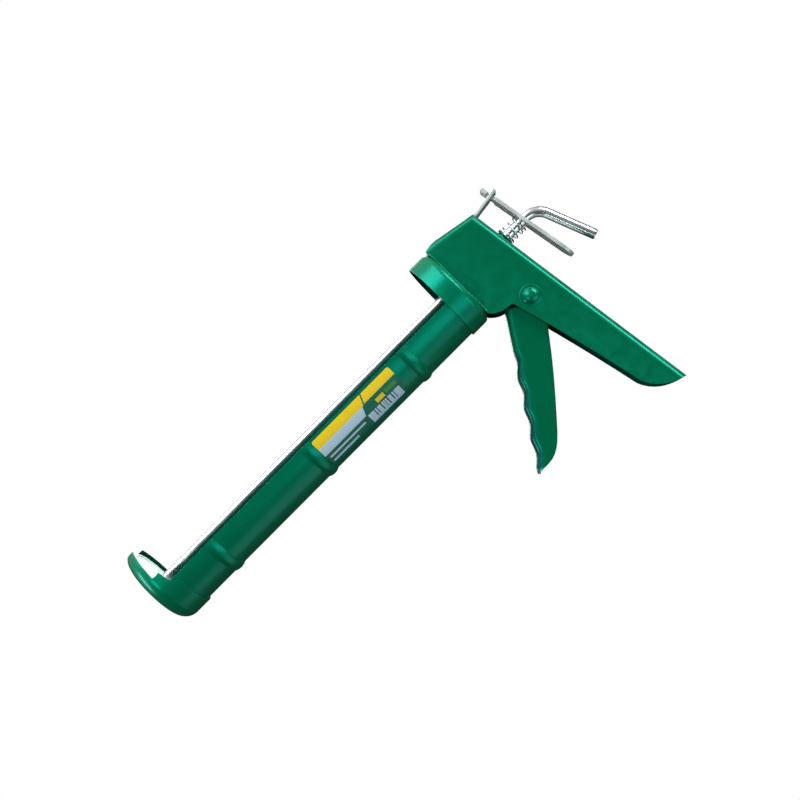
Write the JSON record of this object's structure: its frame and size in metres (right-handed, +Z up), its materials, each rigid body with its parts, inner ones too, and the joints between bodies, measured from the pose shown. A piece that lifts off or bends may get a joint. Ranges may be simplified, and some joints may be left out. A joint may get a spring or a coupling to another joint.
{
  "type": "caulking gun",
  "caption": "Half-barrel caulking gun with a smooth push rod, folded-sheet handle, scalloped trigger and thumb release plate.",
  "frame": {"origin": "centre of the nozzle slot on the barrel axis, at the outer face of the front plate", "axes": "+X along the barrel axis from the nozzle end to the rear hook, +Z up away from the handle, Y across the gun"},
  "size_m": [0.3397, 0.0552, 0.1644],
  "materials": {
    "green_enamel": "gloss",
    "plated_steel": "satin",
    "bright_rod": "polished",
    "spring_steel": "satin",
    "sticker": "satin"
  },
  "bodies": {
    "frame": {"cradle": "green_enamel", "front_cap": "green_enamel", "rear_collar": "green_enamel", "collar_rivets": "green_enamel", "handle_shell": "green_enamel", "front_bush": "plated_steel", "rear_bush": "green_enamel", "pivot_rivet": "green_enamel", "pivot_sleeve": "plated_steel", "pivot_washers": "plated_steel", "release_bracket": "plated_steel", "label": "sticker", "main_spring": "spring_steel", "release_spring": "spring_steel"},
    "pusher": {"piston_disc": "plated_steel", "piston_backing": "plated_steel"},
    "rod": {"push_rod": "bright_rod", "rod_nut": "plated_steel", "lock_washer": "plated_steel"},
    "trigger": {"trigger": "green_enamel"},
    "drive": {"drive_plate_front": "plated_steel", "drive_plate_rear": "plated_steel"},
    "release": {"release_plate": "plated_steel"}
  },
  "joints": [
    {"name": "rod_slide", "type": "slide", "parent": "frame", "child": "pusher", "axis": [1, 0, 0], "range_m": [0, 0.24]},
    {"name": "rod_turn", "type": "hinge", "parent": "pusher", "child": "rod", "pos_m": [0, 0, 0], "axis": [1, 0, 0], "continuous": true},
    {"name": "trigger_pull", "type": "hinge", "parent": "frame", "child": "trigger", "pos_m": [0.28223, 0, -0.0365], "axis": [0, -1, 0], "range_deg": [0, 34], "stiffness_Nm_per_rad": 0.6, "springref_deg": -20.05},
    {"name": "drive_slide", "type": "slide", "parent": "frame", "child": "drive", "axis": [-1, 0, 0], "range_m": [0, 0.01482], "deforming": ["main_spring"]},
    {"name": "release_press", "type": "hinge", "parent": "frame", "child": "release", "pos_m": [0.30853, 0, 0.02348], "axis": [0, 1, 0], "range_deg": [0, 6], "stiffness_Nm_per_rad": 0.15, "springref_deg": -17.19, "deforming": ["release_spring"]}
  ],
  "couplings": [
    {"joint": "drive_slide", "follows": "trigger_pull", "m_per_rad": 0.024635}
  ]
}
